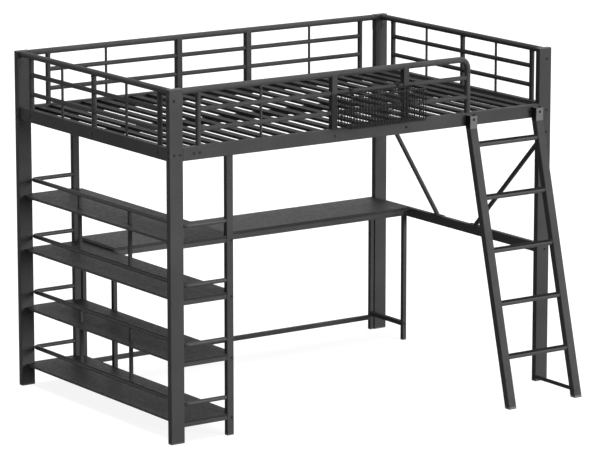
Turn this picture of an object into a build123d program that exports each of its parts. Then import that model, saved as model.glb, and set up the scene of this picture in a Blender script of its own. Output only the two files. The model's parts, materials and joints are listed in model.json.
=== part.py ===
from build123d import *
import os
from math import atan, cos, pi, sin, tan

# Loft bed with a bookshelf under one end, a desk along the back and a leaning ladder.
#
# Sizes are millimetres. X runs along the bed, Y from the front to the back and Z up. Everything is
# laid out from the middle of the bed's length, the front faces of the front posts and the floor.
# At the end it all moves along Y together, so that the origin is the middle of the footprint.

# Bed frame
bed_length = 2106
bed_width = 1330
bed_height = 1588
post_wide = 70
post_deep = 30
tube_wall = 1.5
tube_corner = 3
cap_tall = 3
foot_tall = 6
plug_deep = 14
plug_gap = 0.3
sleeve_reach = 55

# Rails, slats and centre beam
guard_height = 261
rail_tall = 60
end_inset = 25
rail_plug_long = 20
rail_bolt_pitch = 30
splice_edge = 14
splice_tall = 30
splice_gap = 1
plate_thick = 3
slat_count = 22
slat_wide = 40
slat_tall = 12
slat_end_in = 42
slat_crowd = 0.0533
slat_wall = 1.2
slat_drop = 5
slat_end_gap = 1
ledge_wide = 14
ledge_thick = 3
beam_size = 30
beam_plate_wide = 74
beam_bolt_pitch = 54

# Guardrails
guard_top_wide = 28
guard_bar_wide = 21
guard_upright_wide = 24
guard_rod_wide = 12
guard_wall = 1.2
joint_post_wide = 30
upper_bar_drop = 100
lower_bar_drop = 190
guard_left_in = 158
back_guard_left_in = 172
back_guard_right_in = 155
guard_rod_left_in = 488
guard_rod_right_in = 459
joint_post_left_off = -176
joint_post_right_off = 220
back_joint_left_off = -162
back_joint_right_off = 233
guard_end_to_ladder = 1
front_guard_bend = 45
end_guard_in = 115
right_guard_mid_off = -15
tang_wide = 12
tang_thick = 4
tang_drop = 44
tang_rise = 18
tang_gap = 0.3
tab_wide = 22
tab_tall = 46

# Bookshelf
shelf_upright_in = 313
shelf_upright_wide = 35
shelf_upright_deep = 25
shelf_heights = (71, 344, 623, 878)
shelf_rail_tall = 20
shelf_rail_thick = 20
shelf_edge_in = 20
shelf_side_wide = 20
board_thick = 11
board_gap = 1
board_edge = 1
board_left_in = 28
board_right_out = 8
strap_wide = 25
strap_thick = 3
shelf_guard_rises = (103, 97, 85, 98)
shelf_guard_wide = 20
shelf_guard_bend = 22
spacer_rod_wide = 15
spacer_rod_corner = 1.5
spacer_rod_pitch = 431
spacer_rod_off = 11
spacer_rod_gap = 0.4

# Desk
desk_height = 672
desk_depth = 318
desk_side_gap = 10
desk_back_gap = 2
desk_board_thick = 15
desk_tube = 22
desk_rail_tall = 30
desk_leg_inset = 20
side_stretcher_height = 81
rear_stretcher_height = 61

# End beam and braces
end_beam_top = 656
end_beam_tall = 45
end_beam_thick = 25
front_brace_reach = 508
front_brace_share = 0.835
back_brace_reach = 461
back_brace_share = 0.768
brace_wide = 22
brace_plate_wide = 30
brace_plate_long = 78
brace_plate_lead = 14
gusset_long = 78
gusset_tall = 44
gusset_thick = 6

# Ladder
ladder_spread = 383
ladder_rail_wide = 42
ladder_rail_deep = 34
ladder_foot_reach = 354
ladder_top_drop = 69
ladder_foot_tall = 10
rung_wide = 27
rung_first = 229
rung_top_gap = 75
rung_count = 5
bracket_deep = 37
bracket_tall = 60
bracket_wall = 2.5
tie_thick = 3
tie_tall = 18
tie_lift = 15
tie_back = 6

# Wire basket
basket_wide = 414
basket_deep = 104
basket_tall = 150
basket_centre_off = 47
basket_gap = 1
mesh_pitch = 18
mesh_wire = 2.6
rim_size = 5
basket_hook_wide = 15
basket_hook_thick = 3
basket_hook_pitch = 260
basket_hook_drop = 30
basket_seat_gap = 0.3

# Bolts
bolt_shank = 6
bolt_head_wide = 12
bolt_head_tall = 3.5
bolt_clear = 0.1
bolt_key = 4
bolt_key_deep = 2
bolt_tail = 3

# Places that follow from those sizes
half = bed_length / 2
inner = half - post_wide
rail_top = bed_height - guard_height
post_x = half - post_wide / 2
front_y = post_deep / 2
back_y = bed_width - post_deep / 2
rail_thick = post_deep
rail_mid = rail_top - rail_tall / 2
rail_bottom = rail_top - rail_tall
end_x = half - end_inset
slat_top = rail_top - slat_drop
slat_bottom = slat_top - slat_tall
guard_z = bed_height - guard_top_wide / 2
bar_heights = (bed_height - upper_bar_drop, bed_height - lower_bar_drop)
shelf_x = shelf_upright_in - half
shelf_ys = (shelf_upright_deep / 2, bed_width - shelf_upright_deep / 2)
shelf_guard_x = -inner + shelf_guard_wide / 2
spacer_mid = bed_width / 2 + spacer_rod_off
spacer_ys = (spacer_mid - spacer_rod_pitch / 2, spacer_mid + spacer_rod_pitch / 2)
guard_heights = [height + rise for height, rise in zip(shelf_heights, shelf_guard_rises)]
desk_left = shelf_x + shelf_upright_wide / 2 + desk_side_gap
desk_right = inner
desk_back = bed_width - desk_back_gap
desk_front = desk_back - desk_depth
ladder_top = rail_top - ladder_top_drop
ladder_angle = atan((ladder_foot_reach - bracket_deep) / ladder_top)
ladder_right = inner - tie_thick - ladder_rail_wide / 2
ladder_xs = (ladder_right - ladder_spread, ladder_right)
front_stop = ladder_xs[0] - guard_end_to_ladder
rung_rise = (ladder_top - rung_top_gap - rung_first) / (rung_count - 1)
brace_room = rail_bottom - end_beam_top

nodes = {}
holes = []
slots = []


def keep(name, *shapes):
    """Put the solids of these shapes into the node with this name."""
    for shape in shapes:
        nodes.setdefault(name, []).extend(shape.solids())


def block(x0, x1, y0, y1, z0, z1):
    """Box between two opposite corners."""
    middle = Pos((x0 + x1) / 2, (y0 + y1) / 2, (z0 + z1) / 2)
    return middle * Box(abs(x1 - x0), abs(y1 - y0), abs(z1 - z0))


def run(start, end, side, outline):
    """Solid with this flat outline from start to end; the outline's first axis points to side."""
    way = Vector(*end) - Vector(*start)
    plane = Plane(origin=start, x_dir=side, z_dir=way)
    return extrude(plane * outline, amount=way.length)


def box_tube(start, end, side, wide, deep, wall=tube_wall):
    """Rectangular tube with rounded corners; wide is measured along side."""
    outer = RectangleRounded(wide, deep, tube_corner)
    inside = RectangleRounded(wide - 2 * wall, deep - 2 * wall, tube_corner / 2)
    return run(start, end, side, outer - inside)


def any_side(start, end):
    """A direction square to the run from start to end."""
    way = Vector(*end) - Vector(*start)
    lying = abs(way.X) + abs(way.Y) > abs(way.Z)
    return way.cross(Vector(0, 0, 1)) if lying else way.cross(Vector(1, 0, 0))


def rod(start, end, wide):
    """Round solid bar."""
    return run(start, end, any_side(start, end), Circle(wide / 2))


def square_rod(start, end, wide):
    """Upright square solid bar."""
    return run(start, end, (1, 0, 0), RectangleRounded(wide, wide, spacer_rod_corner))


def round_tube(start, end, wide, wall=guard_wall):
    """Round tube."""
    return run(start, end, any_side(start, end), Circle(wide / 2) - Circle(wide / 2 - wall))


def tube_plug(start, end, side, wide, deep, wall=tube_wall):
    """Solid plug that fits inside a rectangular tube."""
    spare = 2 * (wall + plug_gap)
    return run(start, end, side, RectangleRounded(wide - spare, deep - spare, tube_corner / 2))


def bolt_shape(reach):
    """Button-head bolt with its head below the seat at Z = 0 and its shank up to reach."""
    head = Pos(0, 0, -bolt_head_tall / 2) * Cylinder(bolt_head_wide / 2, bolt_head_tall)
    head = fillet(head.edges().group_by(Axis.Z)[0], bolt_head_tall * 0.6)
    key = extrude(Pos(0, 0, -bolt_head_tall) * RegularPolygon(bolt_key / 2, 6), amount=bolt_key_deep)
    return head - key + Pos(0, 0, reach / 2) * Cylinder(bolt_shank / 2, reach)


def fasten(name, seat, way, reach):
    """Set a bolt with its head on seat, pointing along way, and note the hole that it needs."""
    place = Plane(origin=seat, z_dir=way).location
    keep(name, place * bolt_shape(reach))
    depth = reach + bolt_tail
    holes.append(place * Pos(0, 0, depth / 2) * Cylinder(bolt_shank / 2 + bolt_clear, depth))


def corners():
    """The four posts: words for the name, X and Y directions outwards, middle of the post."""
    for depth_word, out_y, y in (("front", -1, front_y), ("back", 1, back_y)):
        for side_word, out_x in (("left", -1), ("right", 1)):
            yield f"{depth_word}_{side_word}", out_x, out_y, out_x * post_x, y


def posts():
    """Lower legs, upper posts on sleeves inside them, top caps and feet."""
    across = (1, 0, 0)
    for words, out_x, out_y, x, y in corners():
        post_top = bed_height - cap_tall
        leg = box_tube((x, y, foot_tall), (x, y, rail_top), across, post_wide, post_deep)
        post = box_tube((x, y, rail_top), (x, y, post_top), across, post_wide, post_deep)
        keep(f"lower_leg_{words}", leg)
        keep("upper_posts", post)

        sleeve_wide = post_wide - 2 * (tube_wall + plug_gap)
        sleeve_deep = post_deep - 2 * (tube_wall + plug_gap)
        low = (x, y, rail_top - sleeve_reach)
        high = (x, y, rail_top + sleeve_reach)
        keep("post_sleeves", box_tube(low, high, across, sleeve_wide, sleeve_deep))

        outline = RectangleRounded(post_wide, post_deep, tube_corner)
        lid = run((x, y, post_top), (x, y, bed_height), across, outline)
        lid = fillet(lid.edges().group_by(Axis.Z)[-1], cap_tall / 2)
        plug = tube_plug((x, y, post_top - plug_deep), (x, y, post_top), across, post_wide, post_deep)
        keep("post_caps", lid + plug)
        keep("leg_feet", foot(x, y, post_wide, post_deep, tube_wall))


def foot(x, y, wide, deep, wall):
    """Plastic foot under an upright rectangular tube, with a plug inside the tube."""
    across = (1, 0, 0)
    pad = run((x, y, 0), (x, y, foot_tall), across, RectangleRounded(wide, deep, tube_corner))
    plug = tube_plug((x, y, foot_tall), (x, y, foot_tall + plug_deep), across, wide, deep, wall)
    return pad + plug


def rails():
    """Side and end rails, the tapped plugs in their ends, corner plates and the bolts of each corner."""
    for word, y in (("front", front_y), ("back", back_y)):
        tube = box_tube((-inner, y, rail_mid), (inner, y, rail_mid), (0, 1, 0), rail_thick, rail_tall)
        keep(f"side_rail_{word}", tube)
    for word, x in (("left", -end_x), ("right", end_x)):
        near = (x, post_deep, rail_mid)
        far = (x, bed_width - post_deep, rail_mid)
        keep(f"end_rail_{word}", box_tube(near, far, (1, 0, 0), rail_thick, rail_tall))

    for words, out_x, out_y, x, y in corners():
        side_end = (out_x * inner, y, rail_mid)
        side_in = (out_x * (inner - rail_plug_long), y, rail_mid)
        keep("tube_plugs", tube_plug(side_in, side_end, (0, 1, 0), rail_thick, rail_tall))
        for lift in (-rail_bolt_pitch / 2, rail_bolt_pitch / 2):
            seat = (out_x * half, y, rail_mid + lift)
            fasten("frame_bolts", seat, (-out_x, 0, 0), post_wide + rail_plug_long - bolt_tail)

        post_face = y - out_y * post_deep / 2
        outer_face = y + out_y * post_deep / 2
        end_in = (out_x * end_x, post_face - out_y * rail_plug_long, rail_mid)
        end_face = (out_x * end_x, post_face, rail_mid)
        keep("tube_plugs", tube_plug(end_in, end_face, (1, 0, 0), rail_thick, rail_tall))
        seat = (out_x * end_x, outer_face, rail_mid)
        fasten("frame_bolts", seat, (0, -out_y, 0), post_deep + rail_plug_long - bolt_tail)

        plate_out = end_x - rail_thick / 2 - splice_gap
        rail_bolt_x = inner - tie_thick - ladder_rail_wide - bolt_head_wide
        plate_in = rail_bolt_x - splice_edge
        high = slat_bottom - ledge_thick - splice_gap
        plate = block(out_x * plate_in, out_x * plate_out, post_face, post_face - out_y * plate_thick,
                      high - splice_tall, high)
        keep("joint_plates", plate)
        for bolt_x in ((inner + plate_out) / 2, rail_bolt_x):
            seat = (out_x * bolt_x, outer_face, rail_mid)
            fasten("frame_bolts", seat, (0, -out_y, 0), post_deep + plate_thick + bolt_tail)


def slats():
    """Pressed steel slats, closer together towards the ends, on two ledges and a centre beam."""
    reach = inner - slat_end_in
    y0 = post_deep + slat_end_gap
    y1 = bed_width - post_deep - slat_end_gap
    for index in range(slat_count):
        spot = 2 * index / (slat_count - 1) - 1
        x = reach * ((1 + slat_crowd) * spot - slat_crowd * spot ** 3)
        side = slat_wide / 2
        bore = side - slat_wall
        channel = block(x - side, x + side, y0, y1, slat_bottom, slat_top)
        channel -= block(x - bore, x + bore, y0, y1, slat_bottom, slat_top - slat_wall)
        keep("slats", channel)

    ledge_low = slat_bottom - ledge_thick
    for face, way in ((post_deep, 1), (bed_width - post_deep, -1)):
        keep("slat_ledges", block(-inner, inner, face, face + way * ledge_wide, ledge_low, slat_bottom))

    mid_y = bed_width / 2
    beam_z = slat_bottom - beam_size / 2
    rail_face = end_x - rail_thick / 2
    beam_end = rail_face - plate_thick
    ends = ((-beam_end, mid_y, beam_z), (beam_end, mid_y, beam_z))
    keep("centre_beam", box_tube(*ends, (0, 1, 0), beam_size, beam_size))
    side = beam_plate_wide / 2
    for out_x in (-1, 1):
        plate = block(out_x * beam_end, out_x * rail_face, mid_y - side, mid_y + side,
                      slat_bottom - beam_size, slat_bottom)
        keep("joint_plates", plate)
        for step in (-beam_bolt_pitch / 2, beam_bolt_pitch / 2):
            seat = (out_x * beam_end, mid_y + step, beam_z)
            fasten("frame_bolts", seat, (out_x, 0, 0), plate_thick + tube_wall + 2 * bolt_tail)


def guard_panel(word, at, tops, uprights, joint_posts, thin_rods, outside):
    """One guardrail: uprights and rods up to the top tube, and bars between the uprights.

    at turns a distance along the guardrail and a height into a point, tops is the solid shape of the
    top tube, and outside is the direction that the fixing bolts come from.
    """
    along = Vector(*at(1, 0)) - Vector(*at(0, 0))
    side = (abs(along.X), abs(along.Y), 0)
    posts_at = sorted(uprights + joint_posts)
    cores = {}
    for place in posts_at:
        low = at(place, rail_top)
        high = at(place, guard_z)
        if place in joint_posts:
            tube = box_tube(low, high, side, joint_post_wide, joint_post_wide)
            cores[place] = run(low, high, side, Rectangle(joint_post_wide, joint_post_wide))
        else:
            tube = round_tube(low, high, guard_upright_wide)
            cores[place] = rod(low, high, guard_upright_wide)
        keep(f"{word}_guard_uprights", tube - tops)
        tang(at, place, side, outside)
    bars = []
    for height in bar_heights:
        for start, end in zip(posts_at, posts_at[1:] + front_end(word)):
            bar = round_tube(at(start, height), at(end, height), guard_bar_wide) - cores[start]
            bar = bar - cores[end] if end in cores else bar - tops
            keep(f"{word}_guard_bars", bar)
            bars.append(rod(at(start, height), at(end, height), guard_bar_wide))
    for place in thin_rods:
        upright = rod(at(place, rail_top), at(place, guard_z), guard_rod_wide) - tops
        for bar in bars:
            upright = upright - bar
        keep("guard_rods", upright)


def front_end(word):
    """The front guardrail's bars run on to its bent end tube."""
    return [front_stop] if word == "front" else []


def tang(at, place, side, outside):
    """Flat tongue under a guardrail upright, through the rail's top wall, with the bolt that holds it."""
    low = at(place, rail_top - tang_drop)
    high = at(place, rail_top + tang_rise)
    keep("guard_tangs", run(low, high, side, Rectangle(tang_wide, tang_thick)))
    slot = Rectangle(tang_wide + 2 * tang_gap, tang_thick + 2 * tang_gap)
    slots.append(run(at(place, rail_top - 2 * tube_wall), at(place, rail_top), side, slot))
    x, y, z = at(place, rail_mid)
    seat = (x + outside[0] * rail_thick / 2, y + outside[1] * rail_thick / 2, z)
    fasten("guard_bolts", seat, (-outside[0], -outside[1], 0), (rail_thick + tang_thick) / 2 + bolt_tail)


def guard_tab(seat, way, side):
    """Tab under a top tube's end, flat on a post, with the bolt that comes through the post."""
    face = Vector(*seat) + Vector(*way) * (post_deep if way[0] == 0 else post_wide)
    low = guard_z - guard_top_wide / 2 - tab_tall
    start = (face.X, face.Y, low + tab_tall / 2)
    end = (face.X + way[0] * plate_thick, face.Y + way[1] * plate_thick, low + tab_tall / 2)
    keep("guard_tabs", run(start, end, side, Rectangle(tab_wide, tab_tall)))
    reach = (post_deep if way[0] == 0 else post_wide) + plate_thick + bolt_tail
    fasten("guard_bolts", (seat[0], seat[1], low + tab_tall / 2), way, reach)


def guards():
    """The guardrails round the bed; the front one stops short to leave the way in from the ladder."""
    path = FilletPolyline((-inner, front_y, guard_z), (front_stop, front_y, guard_z),
                          (front_stop, front_y, rail_top), radius=front_guard_bend)
    start = Plane(origin=(-inner, front_y, guard_z), z_dir=(1, 0, 0))
    front_tube = sweep(start * Circle(guard_top_wide / 2), path=path)
    front_bore = sweep(start * Circle(guard_top_wide / 2 - guard_wall), path=path)
    keep("front_guard_top", front_tube - front_bore)
    tang(lambda place, z: (place, front_y, z), front_stop, (1, 0, 0), (0, 1))
    joints = [joint_post_left_off, joint_post_right_off]
    guard_panel("front", lambda place, z: (place, front_y, z), front_tube, [guard_left_in - half],
                joints, [guard_rod_left_in - half], (0, -1))

    ends = ((-inner, back_y, guard_z), (inner, back_y, guard_z))
    keep("back_guard_top", round_tube(*ends, guard_top_wide))
    back_joints = [back_joint_left_off, back_joint_right_off]
    guard_panel("back", lambda place, z: (place, back_y, z), rod(*ends, guard_top_wide),
                [back_guard_left_in - half, half - back_guard_right_in], back_joints,
                [guard_rod_left_in - half, half - guard_rod_right_in], (0, 1))

    mid_y = bed_width / 2
    step = (mid_y - end_guard_in) / 2
    for x, mid_off in ((-end_x, 0), (end_x, right_guard_mid_off)):
        ends = ((x, post_deep, guard_z), (x, bed_width - post_deep, guard_z))
        keep("end_guard_tops", round_tube(*ends, guard_top_wide))
        guard_panel("end", lambda place, z, x=x: (x, place, z), rod(*ends, guard_top_wide),
                    [end_guard_in, mid_y + mid_off, bed_width - end_guard_in], [],
                    [end_guard_in + step, bed_width - end_guard_in - step], (1 if x > 0 else -1, 0))

    for words, out_x, out_y, x, y in corners():
        guard_tab((out_x * end_x, y + out_y * post_deep / 2), (0, -out_y, 0), (1, 0, 0))
        if words != "front_right":
            guard_tab((out_x * half, y), (-out_x, 0, 0), (0, 1, 0))


def shelf():
    """Bookshelf between the left posts and two uprights: rails, boards on straps and guard rods."""
    across = (1, 0, 0)
    for y in shelf_ys:
        tube = box_tube((shelf_x, y, foot_tall), (shelf_x, y, rail_bottom), across,
                        shelf_upright_wide, shelf_upright_deep)
        keep("shelf_uprights", tube)
        keep("leg_feet", foot(shelf_x, y, shelf_upright_wide, shelf_upright_deep, tube_wall))

    upright_left = shelf_x - shelf_upright_wide / 2
    upright_right = shelf_x + shelf_upright_wide / 2
    edge_x = -inner + shelf_edge_in + shelf_side_wide / 2
    side_x = upright_right - shelf_side_wide / 2
    strap_left = edge_x + shelf_side_wide / 2
    strap_right = side_x - shelf_side_wide / 2
    gap_front = shelf_ys[0] + shelf_rail_thick / 2
    gap_back = bed_width - gap_front
    upright_back = bed_width - shelf_upright_deep
    for number, height in enumerate(reversed(shelf_heights), 1):
        rail_z = height + shelf_rail_tall / 2
        for y in shelf_ys:
            ends = ((-inner, y, rail_z), (upright_left, y, rail_z))
            keep("shelf_rails", box_tube(*ends, (0, 1, 0), shelf_rail_thick, shelf_rail_tall))

        ends = ((edge_x, gap_front, rail_z), (edge_x, gap_back, rail_z))
        keep("shelf_side_rails", box_tube(*ends, across, shelf_side_wide, shelf_rail_tall))
        ends = ((side_x, shelf_upright_deep, rail_z), (side_x, upright_back, rail_z))
        keep("shelf_side_rails", box_tube(*ends, across, shelf_side_wide, shelf_rail_tall))

        seat_z = height + shelf_rail_tall
        board = shelf_board(upright_left, upright_right, seat_z)
        if number % 2:
            for y in spacer_ys:
                ends = ((shelf_guard_x, y, height), (shelf_guard_x, y, seat_z + 2 * board_thick))
                board -= square_rod(*ends, spacer_rod_wide + 2 * spacer_rod_gap)
        keep(f"shelf_board_{number}", board)
        for part in (0.15, 0.5, 0.85):
            y0 = bed_width * part - strap_wide / 2
            strap = block(strap_left, strap_right, y0, y0 + strap_wide, seat_z - strap_thick, seat_z)
            keep("shelf_straps", strap)

        for face, way in ((0, 1), (bed_width, -1)):
            end = face + way * shelf_upright_deep
            ends = ((side_x, end, rail_z), (side_x, end + way * rail_plug_long, rail_z))
            keep("tube_plugs", tube_plug(*ends, across, shelf_side_wide, shelf_rail_tall))
            reach = shelf_upright_deep + rail_plug_long - bolt_tail
            fasten("shelf_bolts", (side_x, face, rail_z), (0, way, 0), reach)

        keep("shelf_guards", shelf_guard(upright_left, guard_heights[-number]))
    spacer_rods()


def shelf_board(upright_left, upright_right, low):
    """Board on the rails, notched round the posts and the uprights."""
    high = low + board_thick
    front = shelf_ys[0] - shelf_rail_thick / 2
    middle = block(-inner + board_gap, upright_left - board_gap, front, bed_width - front, low, high)
    ends = block(-half + board_left_in, upright_right + board_right_out, post_deep + board_gap,
                 bed_width - post_deep - board_gap, low, high)
    board = middle + ends
    return fillet(board.edges(), board_edge)


def shelf_guard(upright_left, z):
    """Rod bent round three sides of a shelf, from one upright to the other."""
    points = [(upright_left, shelf_ys[0], z), (shelf_guard_x, shelf_ys[0], z),
              (shelf_guard_x, shelf_ys[1], z), (upright_left, shelf_ys[1], z)]
    path = FilletPolyline(*points, radius=shelf_guard_bend)
    start = Plane(origin=points[0], z_dir=(-1, 0, 0))
    return sweep(start * Circle(shelf_guard_wide / 2), path=path)


def spacer_rods():
    """Upright square rods that join the guard rods of the upper two and of the lower two shelves."""
    for low, high in (guard_heights[0:2], guard_heights[2:4]):
        for y in spacer_ys:
            upright = square_rod((shelf_guard_x, y, low), (shelf_guard_x, y, high), spacer_rod_wide)
            for z in (low, high):
                ends = ((shelf_guard_x, y - post_wide, z), (shelf_guard_x, y + post_wide, z))
                upright -= rod(*ends, shelf_guard_wide)
            keep("shelf_spacer_rods", upright)


def desk():
    """Desk on four legs: board, rails under it, stretchers and the bolts of the front legs."""
    across = (1, 0, 0)
    under = desk_height - desk_board_thick
    top = block(desk_left, desk_right, desk_front, desk_back, under, desk_height)
    keep("desk_top", fillet(top.edges(), board_edge))

    leg_xs = (desk_left + desk_tube / 2, desk_right - desk_tube / 2)
    leg_ys = (desk_front + desk_leg_inset + desk_tube / 2, desk_back - desk_tube / 2)
    for x in leg_xs:
        for y in leg_ys:
            keep("desk_legs", box_tube((x, y, foot_tall), (x, y, under), across, desk_tube, desk_tube))
            keep("leg_feet", foot(x, y, desk_tube, desk_tube, tube_wall))

    rail_z = under - desk_rail_tall / 2
    gap_x = (leg_xs[0] + desk_tube / 2, leg_xs[1] - desk_tube / 2)
    gap_y = (leg_ys[0] + desk_tube / 2, leg_ys[1] - desk_tube / 2)
    for y in leg_ys:
        ends = ((gap_x[0], y, rail_z), (gap_x[1], y, rail_z))
        keep("desk_rails", box_tube(*ends, (0, 1, 0), desk_tube, desk_rail_tall))
    for x in leg_xs:
        ends = ((x, gap_y[0], rail_z), (x, gap_y[1], rail_z))
        keep("desk_rails", box_tube(*ends, across, desk_tube, desk_rail_tall))
        low = (x, gap_y[0], side_stretcher_height)
        high = (x, gap_y[1], side_stretcher_height)
        keep("desk_stretchers", box_tube(low, high, across, desk_tube, desk_tube))
    low = (gap_x[0], leg_ys[1], rear_stretcher_height)
    high = (gap_x[1], leg_ys[1], rear_stretcher_height)
    keep("desk_stretchers", box_tube(low, high, (0, 1, 0), desk_tube, desk_tube))

    for x in leg_xs:
        face = leg_ys[0] - desk_tube / 2
        inside = gap_y[0]
        for z, tall in ((rail_z, desk_rail_tall), (side_stretcher_height, desk_tube)):
            ends = ((x, inside, z), (x, inside + rail_plug_long, z))
            keep("tube_plugs", tube_plug(*ends, across, desk_tube, tall))
            fasten("desk_bolts", (x, face, z), (0, 1, 0), desk_tube + rail_plug_long - bolt_tail)

    reach = desk_tube + tube_wall + 2 * bolt_tail
    for part in (0.3, 0.75):
        seat = (leg_xs[1] - desk_tube / 2, leg_ys[1], under * part)
        fasten("desk_bolts", seat, (1, 0, 0), reach)


def right_end():
    """Beam between the right posts, braces from it up to the posts, and gussets under its ends."""
    across = (1, 0, 0)
    beam_z = end_beam_top - end_beam_tall / 2
    beam_low = end_beam_top - end_beam_tall
    front_brace = (front_brace_reach, brace_room * front_brace_share)
    back_brace = (back_brace_reach, brace_room * back_brace_share)
    faces = ((0, post_deep, 1, front_brace), (bed_width, bed_width - post_deep, -1, back_brace))
    near = (end_x, post_deep, beam_z)
    far = (end_x, bed_width - post_deep, beam_z)
    keep("end_beam", box_tube(near, far, across, end_beam_thick, end_beam_tall))
    for outside, face, way, (brace_reach, brace_rise) in faces:
        ends = ((end_x, face, beam_z), (end_x, face + way * rail_plug_long, beam_z))
        keep("tube_plugs", tube_plug(*ends, across, end_beam_thick, end_beam_tall))
        fasten("frame_bolts", (end_x, outside, beam_z), (0, way, 0), post_deep + rail_plug_long - bolt_tail)

        foot_y = face + way * brace_reach
        head_z = end_beam_top + brace_rise
        spare = brace_wide / brace_rise
        top = (end_x, face - way * spare * brace_reach, head_z + spare * brace_rise)
        low = (end_x, foot_y + way * spare * brace_reach, end_beam_top - spare * brace_rise)
        span = block(end_x - brace_wide, end_x + brace_wide, face + way * plate_thick, low[1],
                     end_beam_top + plate_thick, top[2])
        keep("end_braces", round_tube(top, low, brace_wide) & span)

        side = brace_plate_wide / 2
        start_z = head_z - brace_wide - brace_plate_lead
        stop_z = start_z + brace_plate_long
        plate = block(end_x - side, end_x + side, face, face + way * plate_thick, start_z, stop_z)
        keep("joint_plates", plate)
        seat = (end_x, outside, stop_z - brace_plate_lead)
        fasten("frame_bolts", seat, (0, way, 0), post_deep + plate_thick + bolt_tail)

        start_y = foot_y - way * (brace_wide + brace_plate_lead)
        stop_y = start_y + way * brace_plate_long
        side = end_beam_thick / 2
        plate = block(end_x - side, end_x + side, start_y, stop_y, end_beam_top, end_beam_top + plate_thick)
        keep("joint_plates", plate)
        seat = (end_x, stop_y - way * brace_plate_lead, end_beam_top + plate_thick)
        fasten("frame_bolts", seat, (0, 0, -1), plate_thick + tube_wall + 2 * bolt_tail)

        corner = (face, beam_low)
        tip = (face + way * gusset_long, beam_low)
        drop = (face, beam_low - gusset_tall)
        turns = [step * pi / 16 for step in range(1, 8)]
        bow = [(face + way * gusset_long * (1 - sin(turn)), beam_low - gusset_tall * (1 - cos(turn)))
               for turn in turns]
        edge = Polyline(corner, tip, *bow, drop, close=True)
        plane = Plane(origin=(end_x - gusset_thick / 2, 0, 0), x_dir=(0, 1, 0), z_dir=(1, 0, 0))
        flat = plane * make_face(edge)
        keep("beam_gussets", extrude(flat, amount=gusset_thick, dir=(1, 0, 0)))


def ladder_y(z, depth):
    """Y of the ladder's slope at a height; depth is measured back from its front face."""
    return -ladder_foot_reach + z * tan(ladder_angle) + depth / cos(ladder_angle)


def ladder():
    """Leaning ladder: rails with feet, rungs, top brackets bolted to the side rail and the tie bar."""
    across = (1, 0, 0)
    middle = ladder_rail_deep / 2
    over = 2 * ladder_rail_deep
    front = -ladder_foot_reach - over
    for word, x in (("left", ladder_xs[0]), ("right", ladder_xs[1])):
        low = (x, ladder_y(-over, middle), -over)
        high = (x, ladder_y(ladder_top + over, middle), ladder_top + over)
        side = ladder_rail_wide / 2
        tube = box_tube(low, high, across, ladder_rail_wide, ladder_rail_deep)
        tube = tube & block(x - side, x + side, front, 0, ladder_foot_tall, ladder_top)
        keep(f"ladder_rail_{word}", tube)

        bar = run(low, high, across, RectangleRounded(ladder_rail_wide, ladder_rail_deep, tube_corner))
        pad = bar & block(x - side, x + side, front, 0, 0, ladder_foot_tall)
        plug = tube_plug(low, high, across, ladder_rail_wide, ladder_rail_deep)
        plug = plug & block(x - side, x + side, front, 0, ladder_foot_tall, ladder_foot_tall + plug_deep)
        keep("ladder_feet", pad + plug)

        start = (x, -bracket_deep / 2, ladder_top)
        floor = (x, -bracket_deep / 2, ladder_top + bracket_wall)
        end = (x, -bracket_deep / 2, ladder_top + bracket_tall)
        bracket = box_tube(start, end, across, ladder_rail_wide, bracket_deep, bracket_wall)
        bracket += run(start, floor, across, RectangleRounded(ladder_rail_wide, bracket_deep, tube_corner))
        keep("ladder_brackets", bracket)
        seat = (x, -bracket_deep, ladder_top + bracket_tall * 0.7)
        fasten("ladder_bolts", seat, (0, 1, 0), bracket_deep + tube_wall + 2 * bolt_tail)

    gap = (ladder_xs[0] + ladder_rail_wide / 2, ladder_xs[1] - ladder_rail_wide / 2)
    for step in range(rung_count):
        z = rung_first + step * rung_rise
        y = ladder_y(z, middle)
        keep("ladder_rungs", round_tube((gap[0], y, z), (gap[1], y, z), rung_wide))

    tie_z = tie_lift + tie_tall / 2
    tie_front = ladder_y(tie_z, middle)
    tie_face = inner - tie_thick
    tie_back_y = post_deep - tie_back
    tie = block(tie_face, inner, tie_front - tie_tall / 2, tie_back_y, tie_lift, tie_lift + tie_tall)
    keep("ladder_tie", tie)
    reach = tie_thick + tube_wall + 4 * bolt_tail
    fasten("ladder_bolts", (inner, tie_front, tie_z), (-1, 0, 0), reach)
    fasten("ladder_bolts", (tie_face, post_deep / 2, tie_z), (1, 0, 0), reach)


def mesh(wide, tall):
    """Flat wire mesh outline with an even border."""
    across = int((wide - mesh_wire) // mesh_pitch)
    up = int((tall - mesh_wire) // mesh_pitch)
    pitch_x = (wide - mesh_wire) / across
    pitch_y = (tall - mesh_wire) / up
    cell = Rectangle(pitch_x - mesh_wire, pitch_y - mesh_wire)
    return Rectangle(wide, tall) - GridLocations(pitch_x, pitch_y, across, up) * cell


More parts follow.
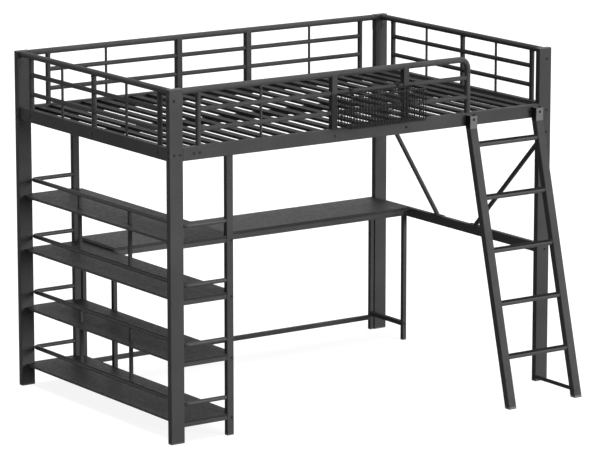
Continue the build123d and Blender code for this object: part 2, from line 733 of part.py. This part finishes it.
def basket():
    """Wire basket that hangs by two hooks on the upper bar of the front guardrail."""
    bar_z = bar_heights[0]
    back = front_y - joint_post_wide / 2 - basket_gap
    front = back - basket_deep
    left = basket_centre_off - basket_wide / 2
    right = left + basket_wide
    top = bar_z - rim_size
    low = bar_z - basket_tall
    mid_x = (left + right) / 2
    mid_y = (front + back) / 2
    mid_z = (top + low) / 2
    wire = mesh_wire
    across = (1, 0, 0)
    wide_panel = mesh(basket_wide, top - low)
    end_panel = mesh(basket_deep - 2 * wire, top - low)
    floor_panel = mesh(basket_wide - 2 * wire, basket_deep - 2 * wire)
    for y in (front, back - wire):
        keep("basket_mesh", run((mid_x, y, mid_z), (mid_x, y + wire, mid_z), across, wide_panel))
    for x in (left, right - wire):
        keep("basket_mesh", run((x, mid_y, mid_z), (x + wire, mid_y, mid_z), (0, 1, 0), end_panel))
    keep("basket_mesh", run((mid_x, mid_y, low), (mid_x, mid_y, low + wire), across, floor_panel))

    for y in (front, back - rim_size):
        keep("basket_rim", block(left, right, y, y + rim_size, top, top + rim_size))
    for x in (left, right - rim_size):
        keep("basket_rim", block(x, x + rim_size, front + rim_size, back - rim_size, top, top + rim_size))

    reach = guard_bar_wide / 2 + basket_seat_gap
    far = front_y + reach + basket_hook_thick
    lid = bar_z + reach + basket_hook_thick
    for step in (-basket_hook_pitch / 2, basket_hook_pitch / 2):
        x0 = mid_x + step - basket_hook_wide / 2
        x1 = x0 + basket_hook_wide
        hook = block(x0, x1, back, back + basket_hook_thick, bar_z - basket_hook_drop, lid)
        hook += block(x0, x1, back, far, bar_z + reach, lid)
        hook += block(x0, x1, front_y + reach, far, bar_z - reach, lid)
        keep("basket_hooks", hook)


def drill():
    """Cut the bolt holes and tang slots out of every piece that they pass through."""
    for name, solids in nodes.items():
        if name.endswith("_bolts") or name.startswith("basket"):
            continue
        tools = holes if name == "guard_tangs" else holes + slots
        for index, solid in enumerate(solids):
            box = solid.bounding_box()
            for tool in tools:
                if meets(box, tool.bounding_box()):
                    solid = (solid - tool).solids()[0]
            solids[index] = solid


def meets(one, other):
    """Whether two bounding boxes overlap."""
    return all(low < high for low, high in zip(one.min, other.max)) and all(
        low < high for low, high in zip(other.min, one.max))


def save():
    """Centre the footprint on the origin and write every node."""
    os.makedirs("parts", exist_ok=True)
    front = -ladder_foot_reach
    back = bed_width + bolt_head_tall
    shift = Pos(0, -(front + back) / 2, 0)
    for name, solids in nodes.items():
        export_step(Compound(children=[shift * solid for solid in solids]), f"parts/{name}.step")


posts()
rails()
slats()
guards()
shelf()
desk()
right_end()
ladder()
basket()
drill()
save()
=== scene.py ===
"""Looks for the loft bed with desk: finishes on every piece, basket wires, welds, floor, light, camera.

Lengths are metres. X runs along the bed, Y from the front to the back and Z up, with the origin in
the middle of the footprint on the floor.
"""
import json
import math

import bpy
import numpy as np
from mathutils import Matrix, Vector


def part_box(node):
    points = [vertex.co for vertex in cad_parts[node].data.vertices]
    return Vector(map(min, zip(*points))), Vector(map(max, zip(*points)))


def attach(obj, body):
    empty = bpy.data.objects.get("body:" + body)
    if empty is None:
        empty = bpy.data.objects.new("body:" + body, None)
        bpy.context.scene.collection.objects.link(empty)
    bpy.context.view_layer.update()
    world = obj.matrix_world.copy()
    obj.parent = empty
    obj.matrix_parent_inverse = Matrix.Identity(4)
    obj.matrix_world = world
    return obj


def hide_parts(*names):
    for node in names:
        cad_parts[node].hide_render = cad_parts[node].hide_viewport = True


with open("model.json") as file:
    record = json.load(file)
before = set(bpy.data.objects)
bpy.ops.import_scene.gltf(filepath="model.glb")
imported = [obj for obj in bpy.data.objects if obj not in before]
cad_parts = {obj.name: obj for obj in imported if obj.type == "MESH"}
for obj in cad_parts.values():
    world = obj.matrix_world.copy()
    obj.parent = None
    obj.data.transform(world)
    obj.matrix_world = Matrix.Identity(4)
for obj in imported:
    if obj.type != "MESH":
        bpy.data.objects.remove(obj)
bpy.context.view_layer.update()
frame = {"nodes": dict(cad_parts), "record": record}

ALONG = np.array([1.0, 0.0, 0.0])
ACROSS = np.array([0.0, 1.0, 0.0])
UP = np.array([0.0, 0.0, 1.0])

# Places that the added pieces share with the solids
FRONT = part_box("side_rail_front")[0].y
BED_LENGTH = 2.106
BED_WIDTH = 1.330
END_INSET = 0.025
GUARD_PLANE = 0.015
GUARD_TOP = 1.574
GUARD_TOP_WIDE = 0.028
GUARD_BARS = (1.488, 1.398)
GUARD_BAR_WIDE = 0.021
GUARD_UPRIGHT_WIDE = 0.024
JOINT_POST_WIDE = 0.030
RAIL_TOP = 1.327
LEFT_END_UPRIGHTS = (0.115, 0.665, 1.215)
RIGHT_END_UPRIGHTS = (0.115, 0.650, 1.215)
FRONT_UPRIGHT = 0.158 - BED_LENGTH / 2
BACK_UPRIGHTS = (0.172 - BED_LENGTH / 2, BED_LENGTH / 2 - 0.155)
FRONT_JOINT_POSTS = (-0.176, 0.220)
BACK_JOINT_POSTS = (-0.162, 0.233)
FRONT_STOP = 0.575
LADDER_RAILS = (0.576, 0.959)
LADDER_RAIL_WIDE = 0.042
RUNG_WIDE = 0.027
RUNGS = 0.229 + 0.2385 * np.arange(5)

# Basket wires
WIRE_RADIUS = 0.0018
WIRE_SIDES = 8
WIRE_PITCH = np.array([0.0165, 0.0165, 0.045])
WIRE_IN_RIM = 0.002
TOP_WIRE_DROP = 0.004
WIRE_SET_IN = 1.5 * WIRE_RADIUS

# Weld beads
GUARD_BEAD = 0.0016
RUNG_BEAD = 0.0018
BEAD_TURNS = 28
BEAD_SIDES = 8
BEAD_RIPPLE = 0.12
BEAD_RIPPLES = 9

# Colours and tones
# BLACK_EDGE_AND_PAINTED_SHADE serves for dark board edges and also as painted shade on bracket sides and
# rung tops, and as a painted shadow at the desk's end.
BLACK_EDGE_AND_PAINTED_SHADE = ((0.007, 0.007, 0.007), (0.013, 0.013, 0.013))
DARK = ((0.015, 0.015, 0.015), (0.022, 0.022, 0.022))
# Pale end trim, made paler as painted light to lift the shade on the desk's ends.
PALE_TRIM_AND_PAINTED_LIGHT = ((0.36, 0.36, 0.36), (0.44, 0.44, 0.44))
LAMINATE = ((0.017, 0.017, 0.018), (0.029, 0.029, 0.029))
PLASTIC = ((0.016, 0.016, 0.017), (0.024, 0.024, 0.025))
OXIDE = ((0.006, 0.006, 0.007), (0.020, 0.020, 0.021))
COAT_BLUE = 0.001
COAT_SHINE = 0.03
NOISE_LOW = 0.3
NOISE_HIGH = 0.7
# Painted shade: rung surfaces that face up by more than this are blackened.
RUNG_PAINTED_SHADE_TOP = 0.4
# Painted shadow: width of the black strip at the desk top's end, standing for the shaded gap by the post.
DESK_PAINTED_SHADOW = 0.058

# Floor, light and camera
FLOOR_REACH = 40.0
FLOOR_TONE = 0.22
FLOOR_GLOW = 0.88
ROOM_LIGHT = 0.18
LAMP_FAR = 5
CAMERA_PLACE = (-9.4085, FRONT - 13.1202, 4.2125)
CAMERA_DOWN = 11.780
CAMERA_RIGHT = 34.575
CAMERA_LENS = 218.73
CAMERA_SENSOR = 36
CAMERA_CLIP = 200


def mesh_piece(name, points, faces, finish, body):
    """Make one object at the origin from whole arrays of points and quads, and let it ride on a body."""
    mesh = bpy.data.meshes.new(name)
    mesh.from_pydata(points.tolist(), [], faces.tolist())
    mesh.shade_smooth()
    mesh.validate()
    piece = bpy.data.objects.new(name, mesh)
    bpy.context.scene.collection.objects.link(piece)
    mesh.materials.append(finish)
    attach(piece, body)
    return piece


def grid_faces(rows, columns, wrap_rows, wrap_columns):
    """Quads of a grid of rows by columns; a wrapped direction joins its last line to its first."""
    r = np.arange(rows if wrap_rows else rows - 1)
    c = np.arange(columns if wrap_columns else columns - 1)
    r, c = np.meshgrid(r, c, indexing="ij")
    r2 = (r + 1) % rows
    c2 = (c + 1) % columns
    quads = [r * columns + c, r2 * columns + c, r2 * columns + c2, r * columns + c2]
    return np.stack([q.ravel() for q in quads], axis=1)


def joined(shapes):
    """Put many (points, faces) pairs into one pair of arrays."""
    points = []
    faces = []
    count = 0
    for shape_points, shape_faces in shapes:
        points.append(shape_points)
        faces.append(shape_faces + count)
        count += len(shape_points)
    return np.concatenate(points), np.concatenate(faces)


def wires(starts, ends, radius, sides):
    """Straight round wires with domed ends.

    Each wire is its axis point plus radius times (cos a, sin a) in the two directions square to it.
    Five rings run along it: one at each end with half the radius, one half a radius in from each end,
    and one in the middle. Flat caps of quads close the end rings.
    """
    way = ends - starts
    length = np.linalg.norm(way, axis=1, keepdims=True)
    way = way / length
    upright = np.abs(way[:, 2:3]) > 0.9
    side = np.cross(way, np.where(upright, ALONG[None], UP[None]))
    side /= np.linalg.norm(side, axis=1, keepdims=True)
    other = np.cross(way, side)
    angle = np.linspace(0, 2 * np.pi, sides, endpoint=False)
    share = np.array([0.0, 0.0, 0.5, 1.0, 1.0])
    shift = radius * np.array([0.0, 0.5, 0.0, -0.5, 0.0])
    narrow = np.array([0.5, 1.0, 1.0, 1.0, 0.5])
    rings = len(share)
    travel = share[None, :, None] * length[:, None, :] + shift[None, :, None]
    axis = starts[:, None, :] + way[:, None, :] * travel
    cosines = np.cos(angle)[None, :, None]
    sines = np.sin(angle)[None, :, None]
    ring = side[:, None, :] * cosines + other[:, None, :] * sines
    points = axis[:, :, None, :] + radius * narrow[None, :, None, None] * ring[:, None, :, :]

    first = np.arange(len(starts)) * rings * sides
    tubes = grid_faces(rings, sides, False, True)[None] + first[:, None, None]
    faces = [tubes.reshape(-1, 4)]
    for ring_start in (0, (rings - 1) * sides):
        ids = first + ring_start
        for step in range(sides // 2 - 1):
            far = ids + sides - step
            faces.append(np.stack([ids + step, ids + step + 1, far - 2, far - 1], axis=1))
    return points.reshape(-1, 3), np.concatenate(faces)


def weld_ring(centre, way, tube_radius, wall_radius, across, bead):
    """Weld bead where a round tube meets a wall or a larger round tube.

    The path goes round the tube: centre + tube_radius (cos t, sin t) in the plane square to way. On a
    round wall it also moves back along way by wall_radius - sqrt(wall_radius^2 - s^2), where s is the
    distance from the wall's axis, measured along across. A wall_radius of 0 is a flat wall. The bead is
    a circle carried along that path, with small ripples as a hand weld has.
    """
    other = np.cross(way, across)
    turn = np.linspace(0, 2 * np.pi, BEAD_TURNS, endpoint=False)
    around = np.linspace(0, 2 * np.pi, BEAD_SIDES, endpoint=False)
    sink = np.zeros_like(turn)
    if wall_radius:
        s = tube_radius * np.cos(turn)
        sink = wall_radius - np.sqrt(np.maximum(wall_radius ** 2 - s ** 2, 0))
    out = across[None] * np.cos(turn)[:, None] + other[None] * np.sin(turn)[:, None]
    path = np.asarray(centre)[None] + tube_radius * out + way[None] * sink[:, None]
    size = bead * (1 + BEAD_RIPPLE * np.sin(BEAD_RIPPLES * turn))
    outward = out[:, None, :] * np.cos(around)[None, :, None]
    onward = way[None, None, :] * np.sin(around)[None, :, None]
    points = path[:, None, :] + size[:, None, None] * (outward + onward)
    return points.reshape(-1, 3), grid_faces(BEAD_TURNS, BEAD_SIDES, True, True)


# Steps that the node trees share


def new_finish(name):
    """Empty node material with a Principled shader; gives the material, its nodes, links and shader."""
    finish = bpy.data.materials.new(name)
    finish.use_nodes = True
    nodes = finish.node_tree.nodes
    shader = nodes["Principled BSDF"]
    return finish, nodes, finish.node_tree.links, shader


def sum_step(nodes, links, operation, first, second=None):
    """Result of one math step on a socket and, where there is one, a second socket or number."""
    step = nodes.new("ShaderNodeMath")
    step.operation = operation
    links.new(first, step.inputs[0])
    if isinstance(second, float):
        step.inputs[1].default_value = second
    elif second:
        links.new(second, step.inputs[1])
    return step.outputs[0]


def part_along(nodes, links, vector, axis):
    """One of the three numbers of a vector."""
    parts = nodes.new("ShaderNodeSeparateXYZ")
    links.new(vector, parts.inputs["Vector"])
    return parts.outputs[axis]


def blended(nodes, links, factor, under, over):
    """Colour that goes from under to over as the factor goes from 0 to 1."""
    blend = nodes.new("ShaderNodeMix")
    blend.data_type = "RGBA"
    links.new(factor, blend.inputs["Factor"])
    links.new(under, blend.inputs["A"])
    links.new(over, blend.inputs["B"])
    return blend.outputs["Result"]


def facing(nodes):
    """Direction that the surface faces."""
    return nodes.new("ShaderNodeNewGeometry").outputs["Normal"]


def banded(nodes, links, face, band, axis):
    """The colour face where the surface points along the axis, and the colour band elsewhere."""
    level = sum_step(nodes, links, "ABSOLUTE", part_along(nodes, links, facing(nodes), axis))
    return blended(nodes, links, level, band, face)


def beyond(nodes, links, vector, axis, limit, under, over):
    """The colour over where the vector's part along the axis passes the limit, and under elsewhere."""
    past = sum_step(nodes, links, "GREATER_THAN", part_along(nodes, links, vector, axis), limit)
    return blended(nodes, links, past, under, over)


def object_noise(nodes, links, scale, detail=2.0, stretch=None):
    """Noise on Object coordinates, stretched along an axis where a grain runs."""
    where = nodes.new("ShaderNodeTexCoord").outputs["Object"]
    noise = nodes.new("ShaderNodeTexNoise")
    noise.inputs["Scale"].default_value = scale
    noise.inputs["Detail"].default_value = detail
    if stretch:
        turn = nodes.new("ShaderNodeMapping")
        turn.inputs["Scale"].default_value = stretch
        links.new(where, turn.inputs["Vector"])
        where = turn.outputs["Vector"]
    links.new(where, noise.inputs["Vector"])
    return noise.outputs["Fac"]


def tint(nodes, links, noise, colours):
    """Colour that runs from the first to the second with the noise."""
    ramp = nodes.new("ShaderNodeValToRGB")
    for element, place, colour in zip(ramp.color_ramp.elements, (NOISE_LOW, NOISE_HIGH), colours):
        element.position = place
        element.color = (*colour, 1)
    links.new(noise, ramp.inputs["Fac"])
    return ramp.outputs["Color"]


def edge_tape_and_painted_light(nodes, links, colours):
    """Mottled colour for edge tape, and for the painted shade and painted light laid on sides, tops and
    ends.
    """
    return tint(nodes, links, object_noise(nodes, links, scale=70.0, detail=4.0), colours)


def sheen(nodes, links, shader, scale, smooth, matt):
    """Roughness that runs from smooth to matt with noise of this scale."""
    reach = nodes.new("ShaderNodeMapRange")
    reach.inputs["From Min"].default_value = NOISE_LOW
    reach.inputs["From Max"].default_value = NOISE_HIGH
    reach.inputs["To Min"].default_value = smooth
    reach.inputs["To Max"].default_value = matt
    links.new(object_noise(nodes, links, scale), reach.inputs["Value"])
    links.new(reach.outputs["Result"], shader.inputs["Roughness"])


def relief(nodes, links, shader, noise, strength, depth):
    """Bump from the noise."""
    bump = nodes.new("ShaderNodeBump")
    bump.inputs["Strength"].default_value = strength
    bump.inputs["Distance"].default_value = depth
    links.new(noise, bump.inputs["Height"])
    links.new(bump.outputs["Normal"], shader.inputs["Normal"])


# Finishes


def powder_coat(name, low, high, smooth=0.44, matt=0.56, peel=0.12, shine=COAT_SHINE, painted_shade_sides=False,
                painted_shade_top=None):
    """Powder coat: slow changes of tone, uneven sheen and the fine orange peel of a baked coat.

    low and high are the darkest and the lightest grey. painted_shade_sides keeps the coat on the surfaces
    that face along Y and blackens the others as painted shade. painted_shade_top blackens, as painted
    shade, those that face up by more than it.
    """
    finish, nodes, links, shader = new_finish(name)
    greys = [(grey, grey, grey + COAT_BLUE) for grey in (low, high)]
    coat = tint(nodes, links, object_noise(nodes, links, scale=5.0, detail=4.0), greys)
    # Painted shade: the sides that don't face along Y are blackened.
    if painted_shade_sides:
        coat = banded(nodes, links, coat, edge_tape_and_painted_light(nodes, links, BLACK_EDGE_AND_PAINTED_SHADE), "Y")
    # Painted shade: the surfaces that face up are blackened.
    if painted_shade_top:
        coat = beyond(nodes, links, facing(nodes), "Z", painted_shade_top, coat, edge_tape_and_painted_light(nodes, links, BLACK_EDGE_AND_PAINTED_SHADE))
    links.new(coat, shader.inputs["Base Color"])
    sheen(nodes, links, shader, 38.0, smooth, matt)
    orange_peel = object_noise(nodes, links, scale=620.0, detail=3.0)
    relief(nodes, links, shader, orange_peel, strength=peel, depth=0.0004)
    shader.inputs["Specular IOR Level"].default_value = shine
    return finish


def laminate(name, grain, dark_edge, painted_shadow_from=None):
    """Charcoal laminate: long streaks of grain, fine pores and a matt, slightly uneven surface.

    dark_edge blackens all the narrow sides; else the long sides are dark and the ends are pale, a light
    trim made paler as painted light for the shade the ends sit in. painted_shadow_from is the place along X
    where
    the top turns black: a painted shadow for the shaded gap at that end.
    """
    finish, nodes, links, shader = new_finish(name)
    streaks = object_noise(nodes, links, scale=26.0, detail=6.0, stretch=grain)
    face = tint(nodes, links, streaks, LAMINATE)
    if dark_edge:
        face = banded(nodes, links, face, edge_tape_and_painted_light(nodes, links, BLACK_EDGE_AND_PAINTED_SHADE), "Z")
    else:
        face = banded(nodes, links, edge_tape_and_painted_light(nodes, links, DARK), face, "Y")
        # Pale ends: a light trim, partly painted light that lifts their shade.
        face = banded(nodes, links, edge_tape_and_painted_light(nodes, links, PALE_TRIM_AND_PAINTED_LIGHT), face, "X")
    # Painted shadow: the top's end by the post is blackened where the gap lies in shade.
    if painted_shadow_from:
        where = nodes.new("ShaderNodeTexCoord").outputs["Object"]
        face = beyond(nodes, links, where, "X", painted_shadow_from, face, edge_tape_and_painted_light(nodes, links, BLACK_EDGE_AND_PAINTED_SHADE))
    links.new(face, shader.inputs["Base Color"])
    sheen(nodes, links, shader, 60.0, smooth=0.46, matt=0.60)
    pores = object_noise(nodes, links, scale=160.0, detail=4.0, stretch=grain)
    relief(nodes, links, shader, pores, strength=0.16, depth=0.0004)
    shader.inputs["Specular IOR Level"].default_value = 0.14
    return finish


def moulded_plastic(name):
    """Black moulded plastic with a fine spark-eroded texture."""
    finish, nodes, links, shader = new_finish(name)
    mottle = object_noise(nodes, links, scale=22.0)
    links.new(tint(nodes, links, mottle, PLASTIC), shader.inputs["Base Color"])
    sheen(nodes, links, shader, 90.0, smooth=0.48, matt=0.62)
    relief(nodes, links, shader, object_noise(nodes, links, scale=1400.0), strength=0.12, depth=0.0002)
    return finish


def black_oxide(name):
    """Blackened bolt steel with worn, slightly brighter patches."""
    finish, nodes, links, shader = new_finish(name)
    wear = object_noise(nodes, links, scale=300.0, detail=4.0)
    links.new(tint(nodes, links, wear, OXIDE), shader.inputs["Base Color"])
    sheen(nodes, links, shader, 420.0, smooth=0.30, matt=0.48)
    relief(nodes, links, shader, object_noise(nodes, links, scale=1800.0), strength=0.10, depth=0.0001)
    shader.inputs["Metallic"].default_value = 0.3
    shader.inputs["Specular IOR Level"].default_value = 0.15
    return finish


finishes = {
    "frame_metal": powder_coat("charcoal_powder_coat", 0.046, 0.058),
    "slat_metal": powder_coat("slat_powder_coat", 0.018, 0.024, smooth=0.46, matt=0.58),
    # Pale grey bracket plates; their blackened sides are painted shade.
    "bracket_metal": powder_coat("grey_coat_painted_shade_sides", 0.130, 0.155, smooth=0.42, matt=0.54, painted_shade_sides=True),
    "basket_wire": powder_coat("wire_powder_coat", 0.020, 0.027, peel=0.08),
    "board_laminate": laminate("shelf_laminate", (1.0, 0.04, 1.0), dark_edge=True),
    "cap_plastic": moulded_plastic("cap_plastic"),
    "bolt_steel": black_oxide("bolt_black_oxide"),
}
# Place along X where the desk top's painted shadow starts.
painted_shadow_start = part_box("desk_top")[1].x - DESK_PAINTED_SHADOW
own_finishes = {
    "desk_top": laminate("desk_laminate_painted_shadow", (0.04, 1.0, 1.0), dark_edge=False, painted_shadow_from=painted_shadow_start),
    # Lighter copy of the frame's coat: painted light that lifts the shade under the desk top.
    "desk_rails": powder_coat("desk_rail_painted_light_coat", 0.068, 0.082),
    "shelf_guards": powder_coat("rod_powder_coat", 0.044, 0.054, smooth=0.32, matt=0.44, peel=0.08,
                                shine=0.12),
    # Rung coat with painted shade on the tops.
    "ladder_rungs": powder_coat("rung_coat_painted_shade_top", 0.060, 0.074, painted_shade_top=RUNG_PAINTED_SHADE_TOP),
}

for entry in frame["record"]["subparts"]:
    node = frame["nodes"][entry["node"]]
    finish = own_finishes.get(entry["node"], finishes[entry["material_slot"]])
    for place in node.material_slots:
        place.material = finish


# Wire basket: round wires in place of the holed panels


def basket_wires():
    """Welded mesh: upright and level wires on each side and crossing wires in the floor."""
    low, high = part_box("basket_mesh")
    low = np.array(low) + WIRE_RADIUS
    high = np.array(high) - np.array([WIRE_RADIUS, WIRE_RADIUS, -WIRE_IN_RIM])
    counts = np.round((high - low) / WIRE_PITCH).astype(int)
    xs = np.linspace(low[0], high[0], counts[0] + 1)
    ys = np.linspace(low[1], high[1], counts[1] + 1)
    zs = np.linspace(low[2], high[2] - TOP_WIRE_DROP, counts[2] + 1)
    starts = []
    ends = []

    def lay(start, end):
        """Add a row of wires; one coordinate is an array, and the others hold for the whole row."""
        starts.append(np.stack(np.broadcast_arrays(*start), axis=1))
        ends.append(np.stack(np.broadcast_arrays(*end), axis=1))

    for y, inner_y in ((low[1], low[1] + WIRE_SET_IN), (high[1], high[1] - WIRE_SET_IN)):
        lay((xs, y, low[2]), (xs, y, high[2]))
        lay((low[0], inner_y, zs), (high[0], inner_y, zs))
    for x, inner_x in ((low[0], low[0] + WIRE_SET_IN), (high[0], high[0] - WIRE_SET_IN)):
        lay((x, ys, low[2]), (x, ys, high[2]))
        lay((inner_x, low[1], zs), (inner_x, high[1], zs))
    floor_ys = ys[::2]
    lay((xs, low[1], low[2]), (xs, high[1], low[2]))
    lay((low[0], floor_ys, low[2] + WIRE_SET_IN), (high[0], floor_ys, low[2] + WIRE_SET_IN))
    points, faces = wires(np.concatenate(starts), np.concatenate(ends), WIRE_RADIUS, WIRE_SIDES)
    piece = mesh_piece("basket_wires", points, faces, finishes["basket_wire"], "basket")
    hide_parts("basket_mesh")


# Weld beads at the tube joints


def bar_welds(origin, along, stops):
    """Beads at both ends of the bars between neighbouring stops, which are (place, wall radius) pairs.

    A wall radius of 0 stands for the flat face of a joint post.
    """
    shapes = []
    for first, second in zip(stops, stops[1:]):
        for height in GUARD_BARS:
            for (place, wall), sign in ((first, 1), (second, -1)):
                way = along * sign
                gap = wall or JOINT_POST_WIDE / 2
                centre = origin + along * place + UP * height + way * gap
                across = np.cross(UP, way)
                shapes.append(weld_ring(centre, -way, GUARD_BAR_WIDE / 2, wall, across, GUARD_BEAD))
    return shapes


def upright_welds(x, y, across):
    """Beads at the top tube and at the foot of one round upright."""
    radius = GUARD_UPRIGHT_WIDE / 2
    top_radius = GUARD_TOP_WIDE / 2
    return [weld_ring((x, y, GUARD_TOP - top_radius), -UP, radius, top_radius, across, GUARD_BEAD),
            weld_ring((x, y, RAIL_TOP), UP, radius, 0, across, GUARD_BEAD)]


def guard_welds():
    """Beads round the bars and under the top tubes of all four guardrails."""
    upright = GUARD_UPRIGHT_WIDE / 2
    front = FRONT + GUARD_PLANE
    back = FRONT + BED_WIDTH - GUARD_PLANE
    bed_end = BED_LENGTH / 2 - END_INSET
    front_posts = [(x, 0) for x in FRONT_JOINT_POSTS]
    back_posts = [(x, 0) for x in BACK_JOINT_POSTS]
    front_stops = [(FRONT_UPRIGHT, upright), *front_posts, (FRONT_STOP, GUARD_TOP_WIDE / 2)]
    back_stops = [(BACK_UPRIGHTS[0], upright), *back_posts, (BACK_UPRIGHTS[1], upright)]
    shapes = bar_welds(ACROSS * front, ALONG, front_stops)
    shapes += bar_welds(ACROSS * back, ALONG, back_stops)
    for x, uprights in ((-bed_end, LEFT_END_UPRIGHTS), (bed_end, RIGHT_END_UPRIGHTS)):
        places = [FRONT + y for y in uprights]
        shapes += bar_welds(ALONG * x, ACROSS, [(y, upright) for y in places])
        for y in places:
            shapes += upright_welds(x, y, ALONG)
    for y, places in ((front, [FRONT_UPRIGHT]), (back, BACK_UPRIGHTS)):
        for x in places:
            shapes += upright_welds(x, y, ACROSS)
    points, faces = joined(shapes)
    mesh_piece("guard_welds", points, faces, finishes["frame_metal"], "frame")


def rung_welds():
    """Beads where the rungs meet the ladder's rails."""
    low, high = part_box("ladder_rungs")
    radius = RUNG_WIDE / 2
    left = LADDER_RAILS[0] + LADDER_RAIL_WIDE / 2
    right = LADDER_RAILS[1] - LADDER_RAIL_WIDE / 2
    shapes = []
    for y, z in zip(np.linspace(low.y + radius, high.y - radius, len(RUNGS)), RUNGS):
        shapes.append(weld_ring((left, y, z), ALONG, radius, 0, ACROSS, RUNG_BEAD))
        shapes.append(weld_ring((right, y, z), -ALONG, radius, 0, ACROSS, RUNG_BEAD))
    points, faces = joined(shapes)
    mesh_piece("rung_welds", points, faces, finishes["frame_metal"], "frame")


# Floor, light and camera


def seen_ray(nodes, links):
    """1 for rays from the camera, in reflections and through clear things, and 0 for rays that light."""
    path = nodes.new("ShaderNodeLightPath").outputs
    straight = sum_step(nodes, links, "MAXIMUM", path["Is Camera Ray"], path["Is Glossy Ray"])
    return sum_step(nodes, links, "MAXIMUM", straight, path["Is Transmission Ray"])


def pale_floor():
    """Large floor that reads as white and keeps a faint shadow of the bed."""
    mesh = bpy.data.meshes.new("floor")
    far = FLOOR_REACH
    mesh.from_pydata([(-far, -far, 0), (far, -far, 0), (far, far, 0), (-far, far, 0)], [], [(0, 1, 2, 3)])
    floor = bpy.data.objects.new("floor", mesh)
    bpy.context.scene.collection.objects.link(floor)
    finish, nodes, links, shader = new_finish("pale_floor")
    shader.inputs["Base Color"].default_value = (FLOOR_TONE, FLOOR_TONE, FLOOR_TONE, 1)
    shader.inputs["Roughness"].default_value = 0.9
    shader.inputs["Specular IOR Level"].default_value = 0.1
    shader.inputs["Emission Color"].default_value = (1, 1, 1, 1)
    glow = sum_step(nodes, links, "MULTIPLY", seen_ray(nodes, links), FLOOR_GLOW)
    links.new(glow, shader.inputs["Emission Strength"])
    mesh.materials.append(finish)


def white_world():
    """White surroundings for the camera and reflections, and a softer even light on the bed."""
    world = bpy.data.worlds.new("studio")
    bpy.context.scene.world = world
    world.use_nodes = True
    nodes = world.node_tree.nodes
    links = world.node_tree.links
    back = nodes["Background"]
    back.inputs["Color"].default_value = (1, 1, 1, 1)
    level = nodes.new("ShaderNodeMapRange")
    level.inputs["To Min"].default_value = ROOM_LIGHT
    level.inputs["To Max"].default_value = 1.0
    links.new(seen_ray(nodes, links), level.inputs["Value"])
    links.new(level.outputs["Result"], back.inputs["Strength"])


def soft_sun(name, way, strength, spread_angle):
    """Wide soft light that comes from the direction way, so that its shadows have no hard edge."""
    light = bpy.data.lights.new(name, "SUN")
    light.energy = strength
    light.angle = math.radians(spread_angle)
    lamp = bpy.data.objects.new(name, light)
    turn = math.atan2(way[1], way[0])
    tilt = math.atan2(math.hypot(way[0], way[1]), way[2])
    lamp.rotation_euler = (0, tilt, turn)
    lamp.location = [LAMP_FAR * step for step in way]
    bpy.context.scene.collection.objects.link(lamp)


def photo_camera():
    """Camera turned to the right along the bed and a little down, with a long lens."""
    camera = bpy.data.cameras.new("camera")
    camera.sensor_width = CAMERA_SENSOR
    camera.lens = CAMERA_LENS
    camera.clip_end = CAMERA_CLIP
    camera_object = bpy.data.objects.new("camera", camera)
    camera_object.location = CAMERA_PLACE
    camera_object.rotation_euler = (math.radians(90 - CAMERA_DOWN), 0, -math.radians(CAMERA_RIGHT))
    bpy.context.scene.collection.objects.link(camera_object)
    bpy.context.scene.camera = camera_object


basket_wires()
guard_welds()
rung_welds()
pale_floor()
white_world()
soft_sun("key", (0.50, -1.0, 0.06), strength=5.0, spread_angle=32)
soft_sun("top", (0.1, -0.25, 1.0), strength=0.6, spread_angle=100)
soft_sun("overhead", (0.0, 0.0, 1.0), strength=3.4, spread_angle=30)
photo_camera()
bpy.context.scene.view_settings.view_transform = "Standard"
